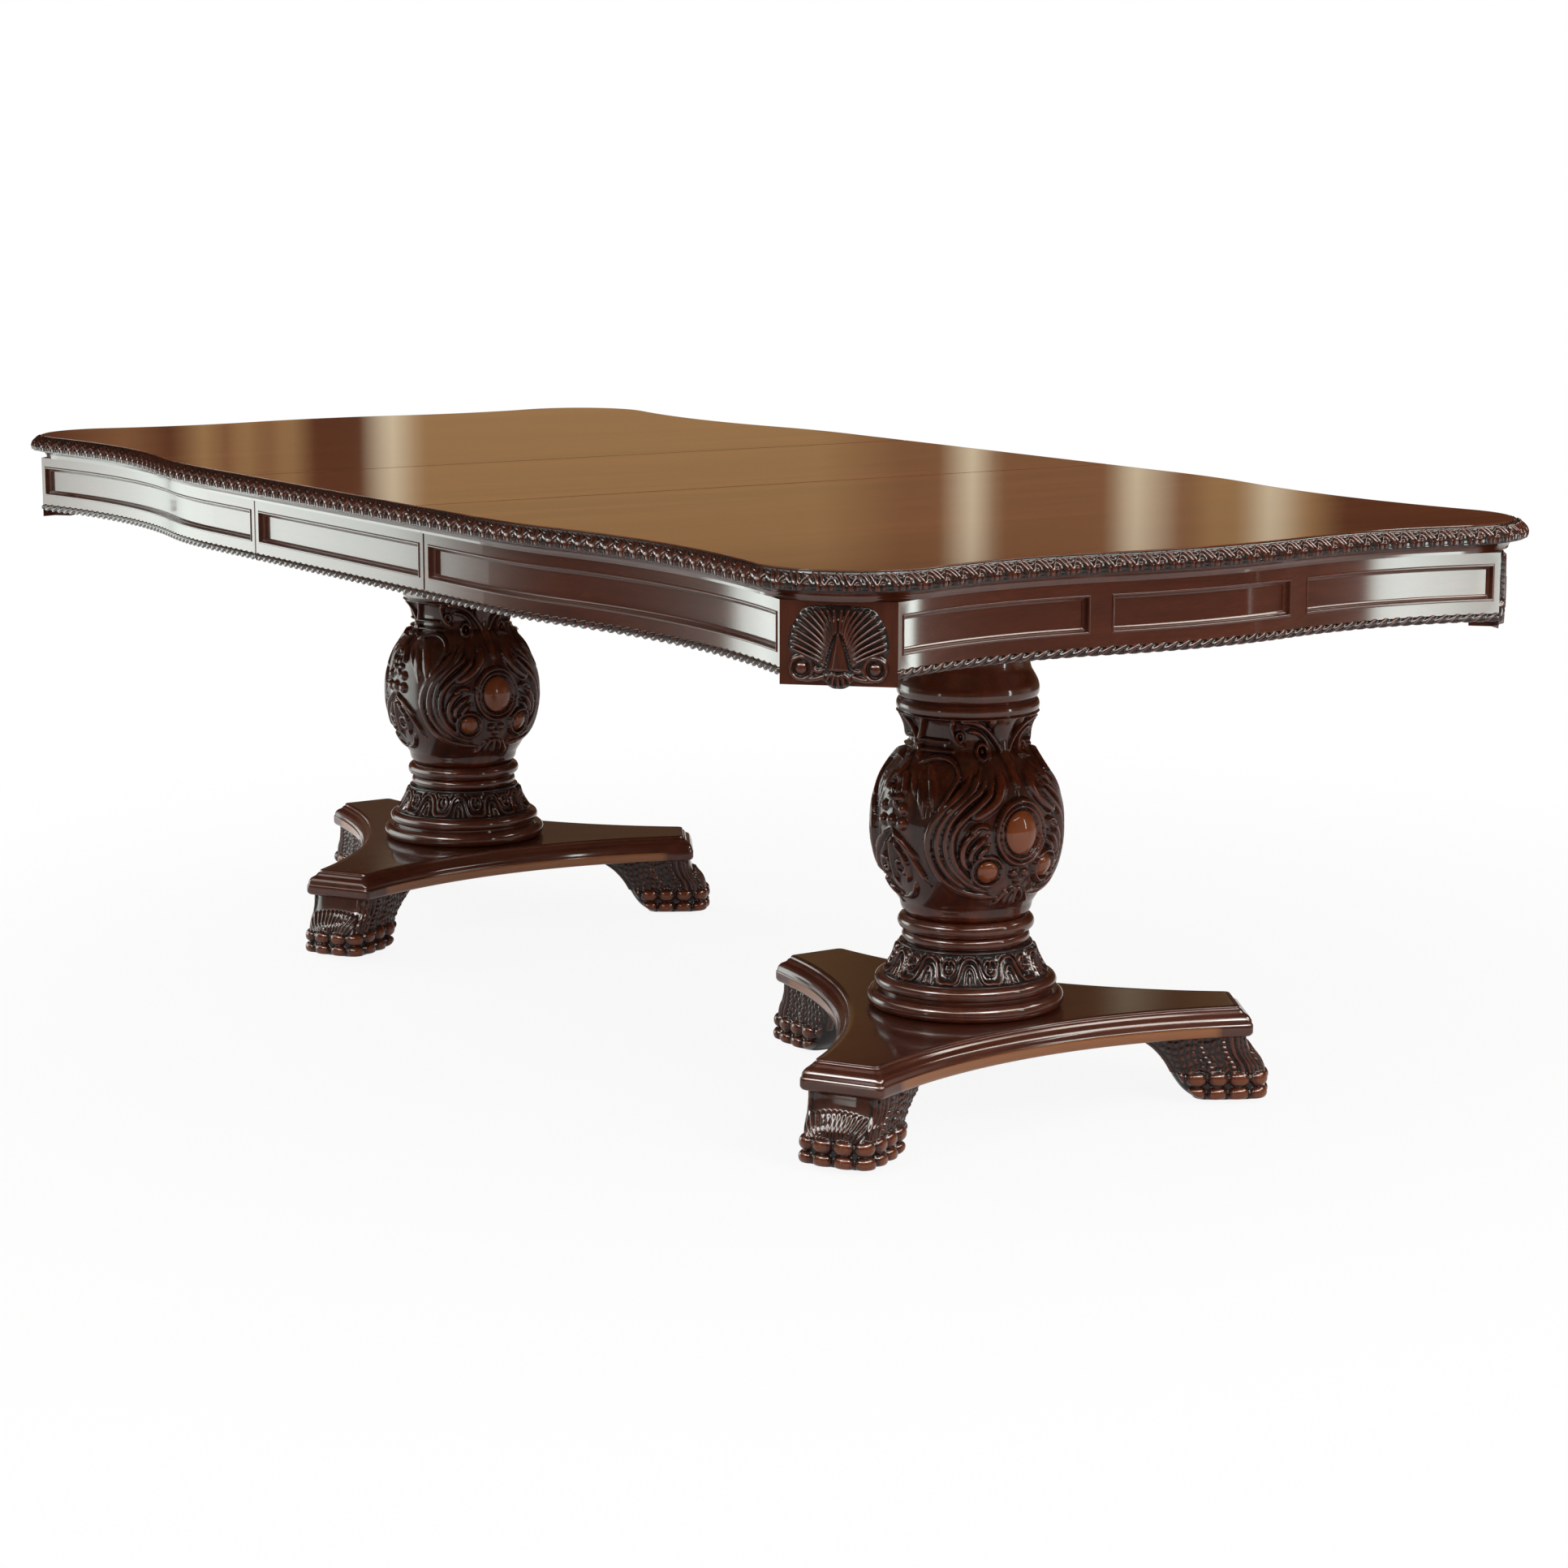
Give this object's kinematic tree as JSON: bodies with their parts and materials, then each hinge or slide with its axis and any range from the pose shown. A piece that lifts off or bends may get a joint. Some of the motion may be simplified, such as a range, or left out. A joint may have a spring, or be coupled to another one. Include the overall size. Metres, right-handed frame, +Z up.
{
  "type": "double pedestal dining table",
  "caption": "Extending dining table with a serpentine carved top and drop-in leaf, on turned, carved columns with three-armed bases and paw feet.",
  "frame": {"origin": "on the floor under the middle of the top", "axes": "+Z up, +X along the table, +Y across it, away from the pictured side"},
  "size_m": [2.42, 1.174, 0.78],
  "materials": {
    "top_veneer": "high gloss lacquer over reddish brown veneer",
    "lacquered_wood": "gloss lacquer over dark cherry stain",
    "carved_wood": "gloss lacquer over dark stain, glazed in the recesses",
    "frame_hardwood": "planed, unfinished",
    "zinc_steel": "zinc plated",
    "glide_nylon": "moulded"
  },
  "bodies": {
    "left_half": {"left_back_apron": "lacquered_wood", "left_base_torus": "lacquered_wood", "left_carved_band": "carved_wood", "left_carved_vase": "carved_wood", "left_column_cap": "lacquered_wood", "left_column_collar": "lacquered_wood", "left_corner_blocks": "lacquered_wood", "left_cove_moulding": "lacquered_wood", "left_cross_battens": "frame_hardwood", "left_edge_moulding": "carved_wood", "left_end_apron": "lacquered_wood", "left_foot_bolts": "zinc_steel", "left_foot_glides": "glide_nylon", "left_front_apron": "lacquered_wood", "left_locating_pins": "zinc_steel", "left_mount_bolts": "zinc_steel", "left_mount_plate": "frame_hardwood", "left_paw_feet": "carved_wood", "left_platform": "lacquered_wood", "left_rail_screws": "zinc_steel", "left_rope_mouldings": "carved_wood", "left_shell_carvings": "carved_wood", "left_slide_rails": "frame_hardwood", "left_tie_nuts": "zinc_steel", "left_tie_rod": "zinc_steel", "left_top_panel": "top_veneer"},
    "right_half": {"right_back_apron": "lacquered_wood", "right_base_torus": "lacquered_wood", "right_carved_band": "carved_wood", "right_carved_vase": "carved_wood", "right_column_cap": "lacquered_wood", "right_column_collar": "lacquered_wood", "right_corner_blocks": "lacquered_wood", "right_cove_moulding": "lacquered_wood", "right_cross_battens": "frame_hardwood", "right_edge_moulding": "carved_wood", "right_end_apron": "lacquered_wood", "right_foot_bolts": "zinc_steel", "right_foot_glides": "glide_nylon", "right_front_apron": "lacquered_wood", "right_locating_pins": "zinc_steel", "right_mount_bolts": "zinc_steel", "right_mount_plate": "frame_hardwood", "right_paw_feet": "carved_wood", "right_platform": "lacquered_wood", "right_rail_screws": "zinc_steel", "right_rope_mouldings": "carved_wood", "right_shell_carvings": "carved_wood", "right_slide_rails": "frame_hardwood", "right_tie_nuts": "zinc_steel", "right_tie_rod": "zinc_steel", "right_top_panel": "top_veneer"},
    "centre_slides": {"centre_slide_rails": "frame_hardwood"},
    "leaf": {"leaf_back_apron": "lacquered_wood", "leaf_cove_mouldings": "lacquered_wood", "leaf_edge_mouldings": "carved_wood", "leaf_front_apron": "lacquered_wood", "leaf_panel": "top_veneer", "leaf_rope_mouldings": "carved_wood"}
  },
  "joints": [
    {"name": "right_half_slide", "type": "slide", "parent": "left_half", "child": "right_half", "axis": [1, 0, 0], "range_m": [0, 0.1]},
    {"name": "centre_slide", "type": "slide", "parent": "left_half", "child": "centre_slides", "axis": [1, 0, 0], "range_m": [0, 0.05]},
    {"name": "leaf_lift", "type": "slide", "parent": "left_half", "child": "leaf", "axis": [0, 0, 1], "range_m": [0, 0.3]}
  ],
  "couplings": [
    {"joint": "centre_slide", "follows": "right_half_slide", "ratio": 0.5}
  ]
}
